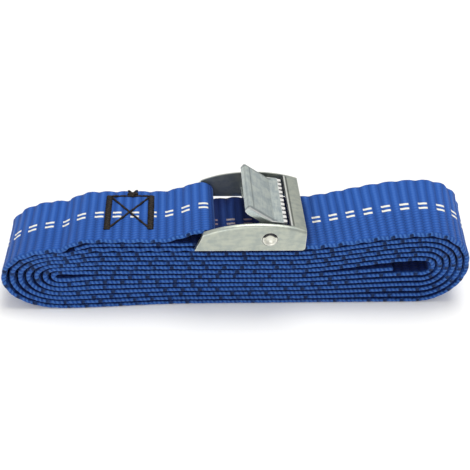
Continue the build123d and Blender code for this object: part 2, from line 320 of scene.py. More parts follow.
def own_place(tree, stretch=(1.0, 1.0, 1.0)):
    """The object's own coordinates in millimetres, stretched along each axis."""
    place = tree.nodes.new("ShaderNodeTexCoord")
    mapping = tree.nodes.new("ShaderNodeMapping")
    tree.links.new(place.outputs["Object"], mapping.inputs["Vector"])
    mapping.inputs["Scale"].default_value = [1000.0 * s for s in stretch]
    return mapping.outputs["Vector"]


def facing_up(tree):
    """How far the surface faces up: 1 when it is level."""
    geometry = tree.nodes.new("ShaderNodeNewGeometry")
    parts = tree.nodes.new("ShaderNodeSeparateXYZ")
    tree.links.new(geometry.outputs["Normal"], parts.inputs["Vector"])
    return parts.outputs["Z"]


def flat_place(group, given):
    """A group's along and across values as one vector."""
    place = group.nodes.new("ShaderNodeCombineXYZ")
    group.links.new(given.outputs["Along"], place.inputs["X"])
    group.links.new(given.outputs["Across"], place.inputs["Y"])
    return place.outputs["Vector"]


def attribute(tree, name):
    """A value stored on the mesh."""
    node = tree.nodes.new("ShaderNodeAttribute")
    node.attribute_name = name
    return node.outputs["Fac"]


def new_group(name, inputs, outputs):
    """An empty shader node group with its sockets, and its input and output nodes."""
    group = bpy.data.node_groups.new(name, "ShaderNodeTree")
    for label, kind, default in inputs:
        socket = group.interface.new_socket(label, in_out="INPUT", socket_type=kind)
        if default is not None:
            socket.default_value = default
    for label, kind in outputs:
        group.interface.new_socket(label, in_out="OUTPUT", socket_type=kind)
    return group, group.nodes.new("NodeGroupInput"), group.nodes.new("NodeGroupOutput")


def place_group(tree, name, **values):
    """Put a shared effect in a material with its own values."""
    node = tree.nodes.new("ShaderNodeGroup")
    node.node_tree = bpy.data.node_groups[name]
    for label, value in values.items():
        wire(tree, value, node.inputs[label.replace("_", " ")])
    return node


def new_material(name):
    """A material with an empty tree but for its shader and output."""
    material = bpy.data.materials.new(name)
    material.use_nodes = True
    tree = material.node_tree
    return material, tree, tree.nodes["Principled BSDF"]


def relief(tree, shader, height, distance):
    """Feed a height through a bump node to the shader's normal."""
    bump = tree.nodes.new("ShaderNodeBump")
    bump.inputs["Distance"].default_value = distance
    tree.links.new(height, bump.inputs["Height"])
    tree.links.new(bump.outputs["Normal"], shader.inputs["Normal"])


def rgba(colour, shade=1.0):
    return (colour[0] * shade, colour[1] * shade, colour[2] * shade, 1.0)


def build_weave_group():
    """Rib weave: floats of warp between cross ribs, in rows that lean to one side."""
    group, given, result = new_group(
        "Rib Weave",
        [
            ("Along", "NodeSocketFloat", 0.0),
            ("Across", "NodeSocketFloat", 0.0),
            ("Rib Pitch", "NodeSocketFloat", 2.575),
            ("Row Pitch", "NodeSocketFloat", 1.6),
            ("Lean", "NodeSocketFloat", 0.45),
            ("Row Depth", "NodeSocketFloat", 1.0),
        ],
        [
            ("Height", "NodeSocketFloat"),
            ("Gap", "NodeSocketFloat"),
            ("Fibre", "NodeSocketFloat"),
        ],
    )
    ribs = calc(group, "DIVIDE", given.outputs["Along"], given.outputs["Rib Pitch"])
    rib_place = calc(group, "FRACT", ribs)
    rows = calc(group, "DIVIDE", given.outputs["Across"], given.outputs["Row Pitch"])
    leaning = calc(
        group, "ADD", rows, times(group, rib_place, given.outputs["Lean"])
    )
    row_place = calc(group, "FRACT", leaning)
    rib_swell = calc(group, "SINE", times(group, rib_place, pi))
    rib_round = calc(group, "POWER", calc(group, "ABSOLUTE", rib_swell), 0.75)
    row_swell = calc(group, "SINE", times(group, row_place, pi))
    row_round = calc(group, "POWER", calc(group, "ABSOLUTE", row_swell), 0.7)
    between = calc(group, "SUBTRACT", 1.0, row_round)
    cut = times(group, between, given.outputs["Row Depth"])
    row_form = calc(group, "SUBTRACT", 1.0, cut)
    place = flat_place(group, given)
    stretched = group.nodes.new("ShaderNodeVectorMath")
    stretched.operation = "MULTIPLY"
    group.links.new(place, stretched.inputs[0])
    stretched.inputs[1].default_value = (0.9, 6.0, 1.0)
    fibre = speckle(group, stretched.outputs["Vector"], 1.0, 3.0, 0.65)
    row_share = times(group, row_form, 0.45)
    height = times(group, rib_round, calc(group, "ADD", row_share, 0.55))
    height = calc(group, "ADD", height, times(group, fibre, 0.18))
    gap = times(group, step_up(group, rib_round, 0.90, 0.0), 0.40)
    corner = times(
        group,
        step_up(group, rib_round, 0.97, 0.5),
        step_up(group, row_form, 0.80, 0.25),
    )
    group.links.new(height, result.inputs["Height"])
    group.links.new(calc(group, "MAXIMUM", gap, corner), result.inputs["Gap"])
    group.links.new(fibre, result.inputs["Fibre"])


def build_edge_group():
    """Woven edge: the weft's turns and one notch beside each, past the given width; the notches
    and the crevices between turns are masks for painted shade.
    """
    group, given, result = new_group(
        "Woven Edge",
        [
            ("Along", "NodeSocketFloat", 0.0),
            ("Across", "NodeSocketFloat", 0.0),
            ("Pitch", "NodeSocketFloat", 5.15),
            ("Off", "NodeSocketFloat", 0.0),
            ("Half Width", "NodeSocketFloat", 12.5),
        ],
        [
            ("Edge", "NodeSocketFloat"),
            ("Notch", "NodeSocketFloat"),
            ("Crevice", "NodeSocketFloat"),
            ("Loop", "NodeSocketFloat"),
        ],
    )
    off = calc(group, "ABSOLUTE", given.outputs["Across"])
    inside = calc(group, "SUBTRACT", given.outputs["Half Width"], off)
    edge = step_up(group, inside, 0.75, 0.35)
    turns = calc(group, "DIVIDE", given.outputs["Along"], given.outputs["Pitch"])
    wobble = calc(group, "SINE", times(group, turns, 2 * pi))
    place = flat_place(group, given)
    uneven = speckle(group, place, 1.3, 2.0)
    raised = calc(group, "ADD", wobble, times(group, uneven, 0.9))
    rim = calc(group, "ABSOLUTE", given.outputs["Off"])
    middle_part = step_up(group, rim, 0.95, 0.55)
    here_and_there = step_up(group, speckle(group, place, 0.11, 1.0), 0.40, 0.55)
    notch = times(
        group,
        step_up(group, raised, 1.05, 1.35),
        times(group, middle_part, here_and_there),
    )
    slant = times(group, given.outputs["Off"], 1.6)
    fine = times(group, turns, 8 * pi)
    coils = calc(group, "SINE", calc(group, "ADD", fine, slant))
    ragged = calc(group, "ADD", coils, times(group, uneven, 2.4))
    loop = step_up(group, ragged, -0.1, 2.2)
    shaky_rim = calc(group, "ADD", rim, times(group, uneven, 0.9))
    crevice = times(group, step_up(group, shaky_rim, 1.25, 1.55), edge)
    group.links.new(edge, result.inputs["Edge"])
    group.links.new(times(group, notch, edge), result.inputs["Notch"])
    group.links.new(crevice, result.inputs["Crevice"])
    group.links.new(loop, result.inputs["Loop"])


def build_plating_group():
    """Plated sheet: cloudy spangle, fine rolling grain and small handling marks."""
    group, given, result = new_group(
        "Zinc Plating",
        [
            ("Place", "NodeSocketVector", None),
            ("Rolled Place", "NodeSocketVector", None),
            ("Tint", "NodeSocketColor", (0.6, 0.6, 0.6, 1.0)),
            ("Cloud", "NodeSocketFloat", 0.5),
            ("Roughness", "NodeSocketFloat", 0.35),
        ],
        [
            ("Color", "NodeSocketColor"),
            ("Roughness", "NodeSocketFloat"),
            ("Height", "NodeSocketFloat"),
        ],
    )
    cloud = speckle(group, given.outputs["Place"], 0.35, 3.0, 0.6)
    grain = speckle(group, given.outputs["Rolled Place"], 1.1, 3.0, 0.6)
    fleck = speckle(group, given.outputs["Place"], 2.6, 2.0, 0.7)
    both = calc(
        group, "ADD", times(group, cloud, 0.6), times(group, grain, 0.4)
    )
    shade = step_up(group, both, 0.36, 0.62)
    darker = mix(group, 1.0, given.outputs["Tint"], (0.80, 0.84, 0.86, 1.0), "MULTIPLY")
    lighter = mix(group, 1.0, given.outputs["Tint"], (1.14, 1.13, 1.06, 1.0), "MULTIPLY")
    ranged = mix(group, shade, darker, lighter)
    colour = mix(group, given.outputs["Cloud"], given.outputs["Tint"], ranged)
    uneven = spread(group, grain, -0.10, 0.12)
    rough = calc(group, "ADD", given.outputs["Roughness"], uneven)
    height = calc(
        group, "ADD", times(group, fleck, 0.5), times(group, grain, 0.5)
    )
    group.links.new(colour, result.inputs["Color"])
    group.links.new(rough, result.inputs["Roughness"])
    group.links.new(height, result.inputs["Height"])


def build_wear_and_highlight_group():
    """Bright edges, partly abrasion and partly painted highlight: a mask where the surface turns
    sharply outwards.
    """
    group, given, result = new_group(
        "Edge Wear And Highlight",
        [("Place", "NodeSocketVector", None)],
        [("Bright Edge", "NodeSocketFloat")],
    )
    bevel = group.nodes.new("ShaderNodeBevel")
    bevel.samples = 4
    bevel.inputs["Radius"].default_value = 0.35 * MM
    geometry = group.nodes.new("ShaderNodeNewGeometry")
    dot = group.nodes.new("ShaderNodeVectorMath")
    dot.operation = "DOT_PRODUCT"
    group.links.new(bevel.outputs["Normal"], dot.inputs[0])
    group.links.new(geometry.outputs["Normal"], dot.inputs[1])
    sharp = step_up(group, dot.outputs["Value"], 0.985, 0.80)
    patchy = step_up(group, speckle(group, given.outputs["Place"], 0.9, 2.0), 0.25, 0.6)
    group.links.new(times(group, sharp, patchy), result.inputs["Bright Edge"])


# ---------------------------------------------------------------- materials


def webbing_material(settings):
    material, tree, shader = new_material("blue webbing")
    along, across, off = (attribute(tree, name) for name in ("along", "across", "off"))
    near_half = step_up(tree, across, 3.0, -5.0)
    weave = place_group(
        tree,
        "Rib Weave",
        Along=along,
        Across=across,
        Rib_Pitch=settings.rib_pitch / MM,
        Row_Pitch=FLOAT_ROW_PITCH,
        Row_Depth=spread(tree, near_half, 0.15, 1.0),
    )
    edge = place_group(
        tree,
        "Woven Edge",
        Along=along,
        Across=across,
        Off=off,
        Pitch=settings.rib_pitch * 2 / MM,
    )
    shifted = calc(tree, "ADD", along, DASH_SHIFT)
    dashes = calc(tree, "DIVIDE", shifted, settings.rib_pitch * 2 / MM)
    dash_place = calc(tree, "ABSOLUTE", calc(tree, "SUBTRACT", calc(tree, "FRACT", dashes), 0.5))
    row = calc(
        tree,
        "ABSOLUTE",
        calc(tree, "SUBTRACT", calc(tree, "ABSOLUTE", across), TRACER_OFFSET),
    )
    dash = times(
        tree,
        step_up(tree, dash_place, 0.27, 0.22),
        step_up(tree, row, 0.50, 0.36),
    )
    wide = speckle(tree, own_place(tree), 0.05, 2.0)
    base = mix(
        tree,
        step_up(tree, wide, 0.35, 0.65),
        rgba(settings.webbing_colour, 0.92),
        rgba(settings.webbing_colour, 1.08),
    )
    lit = mix(tree, weave.outputs["Fibre"], base, rgba((0.024, 0.108, 0.42)))
    shaded = mix(
        tree,
        times(tree, weave.outputs["Gap"], 0.75),
        lit,
        rgba(settings.webbing_colour, 0.35),
    )
    # Painted highlight: the rib crests are lightened.
    crest_highlight = times(tree, step_up(tree, weave.outputs["Height"], 0.86, 1.14), 0.45)
    crest_highlighted = mix(tree, crest_highlight, shaded, rgba((0.060, 0.180, 0.56)))
    # Painted highlight: the weft's coils on the woven edges are lightened.
    loop_highlighted = mix(
        tree,
        edge.outputs["Loop"],
        rgba(settings.webbing_colour, 0.90),
        rgba((0.046, 0.145, 0.44)),
    )
    edged = mix(tree, edge.outputs["Edge"], crest_highlighted, loop_highlighted)
    # Painted shade: the notches beside the weft's turns and the crevices between turns of the roll
    # are darkened.
    dark = calc(
        tree,
        "MAXIMUM",
        times(tree, edge.outputs["Notch"], 0.85),
        times(tree, edge.outputs["Crevice"], 0.6),
    )
    notched = mix(tree, dark, edged, (0.004, 0.009, 0.035, 1.0))
    marked = mix(tree, dash, notched, rgba(settings.tracer_colour))
    # Painted shade: upward faces that ambient occlusion finds sheltered within 28 mm, such as
    # under the buckle and between the turns, are darkened.
    shelter = tree.nodes.new("ShaderNodeAmbientOcclusion")
    shelter.samples = 8
    shelter.inputs["Distance"].default_value = 28 * MM
    upper_face = step_up(tree, facing_up(tree), 0.25, 0.75)
    hidden = step_up(tree, shelter.outputs["AO"], 0.80, 0.42)
    painted_shade_share = times(tree, hidden, upper_face)
    painted_shade_tint = mix(tree, 1.0, marked, (0.24, 0.17, 0.25, 1.0), "MULTIPLY")
    colour = mix(tree, painted_shade_share, marked, painted_shade_tint)
    tree.links.new(colour, shader.inputs["Base Color"])
    shader.inputs["Roughness"].default_value = 0.70
    shader.inputs["Specular IOR Level"].default_value = 0.15
    shader.inputs["Sheen Weight"].default_value = 0.06
    shader.inputs["Sheen Roughness"].default_value = 0.4
    on_edge = times(tree, edge.outputs["Loop"], edge.outputs["Edge"])
    raised = calc(tree, "ADD", weave.outputs["Height"], times(tree, dash, 0.5))
    raised = calc(tree, "ADD", raised, times(tree, on_edge, 0.45))
    hollow = calc(tree, "SUBTRACT", raised, edge.outputs["Notch"])
    relief(tree, shader, hollow, 0.30 * MM)
    return material


def thread_material(settings):
    """Spun black thread with a faint twist."""
    material, tree, shader = new_material("black thread")
    place = own_place(tree)
    twist = speckle(tree, place, 2.2, 3.0, 0.6)
    colour = mix(
        tree,
        step_up(tree, twist, 0.42, 0.68),
        rgba(settings.thread_colour),
        (0.040, 0.028, 0.018, 1.0),
    )
    tree.links.new(colour, shader.inputs["Base Color"])
    shader.inputs["Roughness"].default_value = 0.55
    shader.inputs["Specular IOR Level"].default_value = 0.18
    relief(tree, shader, twist, 0.10 * MM)
    return material


def plated_material(name, colour, cloud, roughness, rolled_way, edge_brightening=0.75, marks=None):
    """Zinc-plated sheet steel with cloudy plating and bright edges of abrasion and painted
    highlight, and painted light and shade marks of its own.
    """
    material, tree, shader = new_material(name)
    place = own_place(tree)
    plating = place_group(
        tree,
        "Zinc Plating",
        Place=place,
        Rolled_Place=own_place(tree, rolled_way),
        Tint=rgba(colour),
        Cloud=cloud,
        Roughness=roughness,
    )
    bright_edge = place_group(tree, "Edge Wear And Highlight", Place=place).outputs["Bright Edge"]
    # Painted highlight and abrasion: sharp edges are brightened.
    bright = mix(
        tree, times(tree, bright_edge, edge_brightening), plating.outputs["Color"], (0.93, 0.94, 0.92, 1.0)
    )
    if marks:
        bright = marks(tree, bright)
    tree.links.new(bright, shader.inputs["Base Color"])
    rubbed = calc(
        tree, "SUBTRACT", plating.outputs["Roughness"], times(tree, bright_edge, 0.12)
    )
    tree.links.new(rubbed, shader.inputs["Roughness"])
    shader.inputs["Metallic"].default_value = 0.92
    relief(tree, shader, plating.outputs["Height"], 0.02 * MM)
    return material


def place_parts(tree):
    """The object's own X, Y and Z in millimetres."""
    parts = tree.nodes.new("ShaderNodeSeparateXYZ")
    tree.links.new(own_place(tree), parts.inputs["Vector"])
    return parts.outputs["X"], parts.outputs["Y"], parts.outputs["Z"]


def lever_painted_light(tree, colour):
    """Painted highlight and shade on the lever: tooth tips and side folds painted bright, with a
    painted dark shade line inside the folds and the lip.
    """
    x, y, z = place_parts(tree)
    upper = step_up(tree, facing_up(tree), 0.30, 0.55)
    off = calc(tree, "ABSOLUTE", y)
    on_plate = step_up(tree, x, 11.0, 10.4)
    beside = times(tree, step_up(tree, off, 9.9, 10.3), on_plate)
    down = calc(
        tree, "SUBTRACT", times(tree, x, 0.817), times(tree, z, 0.576)
    )
    from_lip = calc(tree, "ABSOLUTE", calc(tree, "ADD", down, LIP_LINE))
    # Painted shade: dark lines inside the side folds and inside the lip.
    lined = calc(tree, "MAXIMUM", beside, step_up(tree, from_lip, 0.34, 0.20))
    line = times(tree, times(tree, lined, upper), 0.55)
    darker = mix(tree, line, colour, (0.16, 0.19, 0.21, 1.0))
    # Painted highlight: the side folds' rims and the tooth tips are painted near white.
    rim = times(tree, step_up(tree, off, 10.85, 11.15), on_plate)
    rim = times(tree, times(tree, rim, upper), 0.6)
    tip_highlight = step_up(tree, x, 12.5, 12.8)
    return mix(tree, calc(tree, "MAXIMUM", tip_highlight, rim), darker, (1.0, 1.0, 0.98, 1.0))


def bridge_lip_painted_light(tree, colour):
    """Painted highlight and shade: the frame bridge's rear lip painted bright, with a dark shade
    line at the fold beside it.
    """
    x, y, z = place_parts(tree)
    past_lip = calc(tree, "SUBTRACT", x, ANVIL_LIP_X)
    on_top = step_up(tree, z, 29.3, 29.7)
    inside = step_up(tree, calc(tree, "ABSOLUTE", y), 12.9, 12.4)
    bridge = times(tree, on_top, inside)
    # Painted highlight on the rear lip, then a painted shade line just past it.
    lit = times(tree, step_up(tree, past_lip, 0.55, 0.35), bridge)
    lit = times(tree, lit, step_up(tree, past_lip, -0.5, -0.3))
    off_line = calc(tree, "ABSOLUTE", calc(tree, "SUBTRACT", past_lip, 0.80))
    line = times(tree, step_up(tree, off_line, 0.34, 0.18), bridge)
    lip_highlighted = mix(tree, times(tree, lit, 0.6), colour, (0.95, 0.96, 0.93, 1.0))
    return mix(tree, times(tree, line, 0.75), lip_highlighted, (0.07, 0.08, 0.08, 1.0))


def painted_shade_crescent(tree, colour):
    """Painted shade: a dark crescent round the upper side of the pin's dished ends."""
    x, y, z = place_parts(tree)
    across = calc(tree, "SUBTRACT", x, PIVOT_X)
    up = calc(tree, "SUBTRACT", z, PIVOT_Z)
    square = calc(
        tree, "ADD", times(tree, across, across), times(tree, up, up)
    )
    off = calc(tree, "SQRT", square)
    lip = times(tree, step_up(tree, up, 0.75, 1.15), step_up(tree, off, 1.15, 1.45))
    return mix(tree, times(tree, lip, 0.95), colour, (0.02, 0.02, 0.03, 1.0))


# ---------------------------------------------------------------- mesh helpers


def ease(start, end, t):
    """Go from start to end with level ends as t goes from 0 to 1."""
    t = min(1.0, max(0.0, t))
    return start + (end - start) * t * t * (3 - 2 * t)


def curve_through(points, tangent_start=None, tangent_end=None, steps=14):
    """Points of a smooth line through the given ones, closer together."""
    rows = [Vector(p) for p in points]
    before = rows[0] * 2 - rows[1] if tangent_start is None else rows[1] - tangent_start
    after = rows[-1] * 2 - rows[-2] if tangent_end is None else rows[-2] + tangent_end
    rows = [before] + rows + [after]
    found = []
    for a, b, c, d in zip(rows, rows[1:], rows[2:], rows[3:]):
        gap = (c - b).length
        way_b = (c - a).normalized() * gap
        way_c = (d - b).normalized() * gap
        for i in range(steps):
            t = i / steps
            t2, t3 = t * t, t * t * t
            found.append(
                b * (2 * t3 - 3 * t2 + 1)
                + way_b * (t3 - 2 * t2 + t)
                + c * (3 * t2 - 2 * t3)
                + way_c * (t3 - t2)
            )
    return found + [rows[-2]]


def tube(mesh, line, radius, sides=8, taper_ends=False):
    """Add a closed round tube along a line of points to a bmesh."""
    count = len(line)
    ways = [
        (line[min(i + 1, count - 1)] - line[max(i - 1, 0)]).normalized() for i in range(count)
    ]
    side = ways[0].orthogonal().normalized()
    rings = []
    for i, (point, way) in enumerate(zip(line, ways)):
        side = (side - way * side.dot(way)).normalized()
        third = way.cross(side)
        size = radius
        if taper_ends:
            size *= max(0.35, min(1.0, 2.2 * sin(pi * i / (count - 1)) + 0.3))
        rings.append(
            [
                mesh.verts.new(
                    point
                    + side * size * cos(2 * pi * k / sides)
                    + third * size * sin(2 * pi * k / sides)
                )
                for k in range(sides)
            ]
        )
    for first, second in zip(rings, rings[1:]):
        for k in range(sides):
            nxt = (k + 1) % sides
            mesh.faces.new((first[k], first[nxt], second[nxt], second[k]))
    mesh.faces.new(rings[0][::-1])
    mesh.faces.new(rings[-1])


def finish_piece(mesh, name, material, smooth=True):
    """Turn a bmesh into an object of the scene."""
    bmesh.ops.recalc_face_normals(mesh, faces=mesh.faces)
    data = bpy.data.meshes.new(name)
    mesh.to_mesh(data)
    mesh.free()
    for polygon in data.polygons:
        polygon.use_smooth = smooth
    data.materials.append(material)
    piece = bpy.data.objects.new(name, data)
    bpy.context.scene.collection.objects.link(piece)
    return piece


# ---------------------------------------------------------------- webbing


def height_at(heights, x):
    """Height of a layer at x, from its heights at the left, middle and right."""
    left, middle, right = heights
    if x < MID_LEFT_X:
        return ease(left, middle, (x - LEFT_X) / (MID_LEFT_X - LEFT_X))
    return ease(middle, right, (x - MID_RIGHT_X) / (RIGHT_X - MID_RIGHT_X))


def upper_heights(layer):
    return [z + (LAST_LAYER - layer) * step for z, step in zip(UPPER_INNER, UPPER_STEP)]


def lower_heights(layer):
    return [HALF + (layer - 1) * step for step in LOWER_STEP]


def layer_run(heights, start_x, end_x, count=90):
    """Points of one layer of the roll."""
    xs = [start_x + (end_x - start_x) * i / count for i in range(count + 1)]
    return [Vector((x, height_at(heights, x))) for x in xs]


def half_turn(x, depth, start_z, end_z, count=48):
    """Points of the half ellipse from start_z to end_z; a negative depth turns left."""
    middle, rise = (start_z + end_z) / 2, (end_z - start_z) / 2
    angles = [pi * i / count for i in range(count + 1)]
    return [Vector((x + depth * sin(a), middle - rise * cos(a))) for a in angles]


def webbing_line():
    """The strip's middle line from its sewn end to its inner end."""
    level = Vector((8.0, 0.0))
    line = curve_through(TAIL_END, tangent_end=level)
    line += [Vector((SEWN_START_X, TAIL_Z)), Vector((BAR_LINE_X, TAIL_Z))]
    line += half_turn(BAR_LINE_X, (LOOP_TOP_Z - TAIL_Z) / 2, TAIL_Z, LOOP_TOP_Z)
    line += curve_through(LOOP_TO_SEAM, tangent_start=-level / 4, tangent_end=-level / 4)
    line += curve_through(SEAM_TO_TURN, tangent_start=-level / 4, tangent_end=-level / 4)
    for layer in range(LAST_LAYER + 1):
        upper, lower = upper_heights(layer), lower_heights(layer + 1)
        depth = OUTER_DEPTH_LEFT - layer * DEPTH_STEP_LEFT
        line += half_turn(LEFT_X, -depth, upper[0], lower[0])
        if layer == LAST_LAYER:
            line += layer_run(lower, LEFT_X, INNER_END_X)
            break
        line += layer_run(lower, LEFT_X, RIGHT_X)
        following = upper_heights(layer + 1)
        depth = OUTER_DEPTH_RIGHT - layer * DEPTH_STEP_RIGHT
        line += half_turn(RIGHT_X, depth, lower[2], following[2])
        line += layer_run(following, RIGHT_X, LEFT_X)
    kept = [line[0]]
    for point in line[1:]:
        if (point - kept[-1]).length > 0.02:
            kept.append(point)
    return kept


def cross_section():
    """(across, off the middle as a share of the half thickness) round one ring."""
    top = [(-12.5, 0.0), (-12.42, 0.42), (-12.15, 0.80), (-11.6, 1.0), (-10.4, 1.0)]
    top += [(-8.0 + 2.0 * i, 1.0) for i in range(9)]
    top += [(10.4, 1.0), (11.6, 1.0), (12.15, 0.80), (12.42, 0.42)]
    under = [(-across, -off) for across, off in top]
    return top + under


def rib(place):
    """Height of one rounded rib, 0 to 1, with a steeper side."""
    t = place - floor(place)
    return sin(pi * t ** 0.8) ** 0.85


def lean(x, z, across):
    """How far a point of the roll moves in X and Z: its far side stands higher and further out."""
    far = across / WEB_WIDTH + 0.5
    up = ease(0.0, 1.0, z / 30.0)
    by_buckle = ease(0.0, 1.0, (x + 10.0) / 10.0)
    hump = ease(0.0, 1.0, (x - 22.0) / 30.0)
    out = ease(0.0, 1.0, (x - 34.0) / 34.0)
    return 3.2 * out * far * up, (1.0 * by_buckle + 1.5 * hump) * far * up - 0.6 * hump * up


def slip(x, z):
    """How far the lower turns stand out towards the near side at the left end."""
    return -1.5 * ease(0.0, 1.0, (-x - 15.0) / 40.0) * ease(1.0, 0.0, z / 16.0)


def stretched(mark):
    """The weave's own distance along the strip, 2.1 mm less on the run to the buckle."""
    return mark - 2.1 * ease(1.0, 0.0, (mark - 130.0) / 90.0)


class STRAP_OT_webbing(bpy.types.Operator):
    """Weave and roll up the strip of webbing"""

    bl_idname = "strap.webbing"
    bl_label = "Webbing"

    # millimetres along the strip
    SHOWN_LENGTH = 395.0
    SHOWN_STEP = 0.515
    HIDDEN_STEP = 0.86

    def rings(self, line):
        """Rows of the strip: (distance along, place, direction), finer where it shows."""
        lengths = [0.0]
        for a, b in zip(line, line[1:]):
            lengths.append(lengths[-1] + (b - a).length)
        total = lengths[-1]
        marks = []
        at = 0.0
        while at < total:
            marks.append(at)
            at += self.SHOWN_STEP if at < self.SHOWN_LENGTH else self.HIDDEN_STEP
        marks.append(total)
        found, k = [], 0
        for mark in marks:
            while k < len(lengths) - 2 and lengths[k + 1] < mark:
                k += 1
            share = (mark - lengths[k]) / (lengths[k + 1] - lengths[k])
            found.append((mark, line[k].lerp(line[k + 1], share)))
        rows = []
        for i, (mark, point) in enumerate(found):
            way = found[min(i + 1, len(found) - 1)][1] - found[max(i - 1, 0)][1]
            rows.append((mark, point, way.normalized()))
        return rows, total

    def execute(self, context):
        settings = context.scene.strap_settings
        rows, total = self.rings(webbing_line())
        section = cross_section()
        rib_pitch = settings.rib_pitch / MM
        rib_height = settings.rib_height / MM
        wave = settings.edge_wave / MM
        mesh = bmesh.new()
        along_layer = mesh.verts.layers.float.new("along")
        across_layer = mesh.verts.layers.float.new("across")
        off_layer = mesh.verts.layers.float.new("off")
        rings = []
        for mark, point, way in rows:
            loop_share = ease(0.0, 1.0, (mark - 12.0) / 10.0) * ease(1.0, 0.0, (mark - 46.0) / 8.0)
            shown = ease(1.0, 0.35, (mark - self.SHOWN_LENGTH) / 12.0)
            lift = rib_height * shown * (1 - 0.75 * loop_share)
            woven = stretched(mark)
            swell = 0.5 - 0.5 * cos(2 * pi * woven / (2 * rib_pitch))
            wander = noise.noise(Vector((mark * 0.05, 3.7, 0.0)))
            rolled = ease(0.0, 1.0, (mark - 85.0) / 10.0)
            ring = []
            for across, off in section:
                near_edge = ease(0.0, 1.0, (abs(across) - 8.5) / 3.5)
                grow = rib(woven / rib_pitch) - 0.6
                thick = HALF + lift * grow + EDGE_BULGE * near_edge * rolled
                outward = 1 if across > 0 else -1
                far_share = 1.35 if across > 0 else 0.45
                flutter = near_edge * shown * (1 - loop_share) * wave * (swell - 0.5) * far_share
                height = off * thick + flutter
                scallop = wave * (swell - 0.6) * shown * far_share * 0.6
                y = across + outward * near_edge * (scallop + 0.12 * wander)
                x = point.x - way.y * height
                z = point.y + way.x * height
                right, up = lean(x, max(z, 0.02), y)
                y += slip(x, z)
                vertex = mesh.verts.new(Vector((x + right, y, max(z, 0.02) + up)) * MM)
                vertex[along_layer] = woven
                vertex[across_layer] = across
                vertex[off_layer] = off
                ring.append(vertex)
            rings.append(ring)
        size = len(section)
        for first, second in zip(rings, rings[1:]):
            for k in range(size):
                nxt = (k + 1) % size
                mesh.faces.new((first[k], first[nxt], second[nxt], second[k]))
        for ring in (rings[0], rings[-1]):
            mid = size // 2
            for k in range(mid):
                a, b = ring[k], ring[(k + 1) % size]
                c, d = ring[size - 1 - k], ring[(size - k) % size]
                corners = [v for i, v in enumerate((a, b, c, d)) if v not in (a, b, c, d)[:i]]
                if len(corners) > 2:
                    mesh.faces.new(corners)
        piece = finish_piece(mesh, "webbing_strip", webbing_material(settings))
        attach(piece, "strap")
        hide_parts("webbing")
        context.scene["strap_length"] = total
        return {"FINISHED"}


# ---------------------------------------------------------------- sewing


def sewn_point(x, y, depth, face_z, side):
    return Vector((x, y, face_z + side * depth)) * MM


def stitch(mesh, start, end, face_z, side, radius, proud=0.16):
    """One stitch: thread that comes out of the cloth, lies on it and goes back in."""
    (x1, y1), (x2, y2) = start, end
    line = []
    for i in range(9):
        t = i / 8
        depth = proud * (1 - (2 * t - 1) ** 6) - 0.42 * abs(2 * t - 1) ** 6
        line.append(sewn_point(x1 + (x2 - x1) * t, y1 + (y2 - y1) * t, depth, face_z, side))
    tube(mesh, line, radius, 8, True)


def bar_of_stitches(mesh, x, face_z, side, radius):
    """A dense bar: short threads across it, each laid close to the last."""
    y, k = TACK_NEAR_Y, 0
    while y < TACK_FAR_Y:
        jitter = noise.noise(Vector((x * 0.7, y * 1.9, side)))
        half = 0.82 + 0.18 * jitter
        slant = 0.34 if k % 2 else -0.10
        start = (x - half, y - slant)
        end = (x + half, y + slant)
        stitch(mesh, start, end, face_z, side, radius * 1.12, 0.20 + 0.06 * jitter)
        y += 0.50
        k += 1


def run_of_stitches(mesh, start, end, length, face_z, side, radius):
    """A straight run of single stitches."""
    (x1, y1), (x2, y2) = start, end
    total = hypot(x2 - x1, y2 - y1)
    count = max(1, round(total / length))
    for k in range(count):
        a, b = (k - 0.04) / count, (k + 1.04) / count
        wobble = 0.10 * noise.noise(Vector((x1 + k, y2 * 0.3, side)))
        stitch(
            mesh,
            (x1 + (x2 - x1) * a, y1 + (y2 - y1) * a + wobble),
            (x1 + (x2 - x1) * b, y1 + (y2 - y1) * b - wobble),
            face_z,
            side,
            radius,
        )


def cross_of_stitches(mesh, face_z, side, radius):
    """The X between the two bars."""
    left, right = REAR_TACK_X + 0.7, FRONT_TACK_X - 0.7
    near, far = TACK_NEAR_Y + 0.6, TACK_FAR_Y - 0.9
    run_of_stitches(mesh, (left, near), (right, far), 2.3, face_z, side, radius)
    run_of_stitches(mesh, (left, far), (right, near), 2.3, face_z, side, radius)


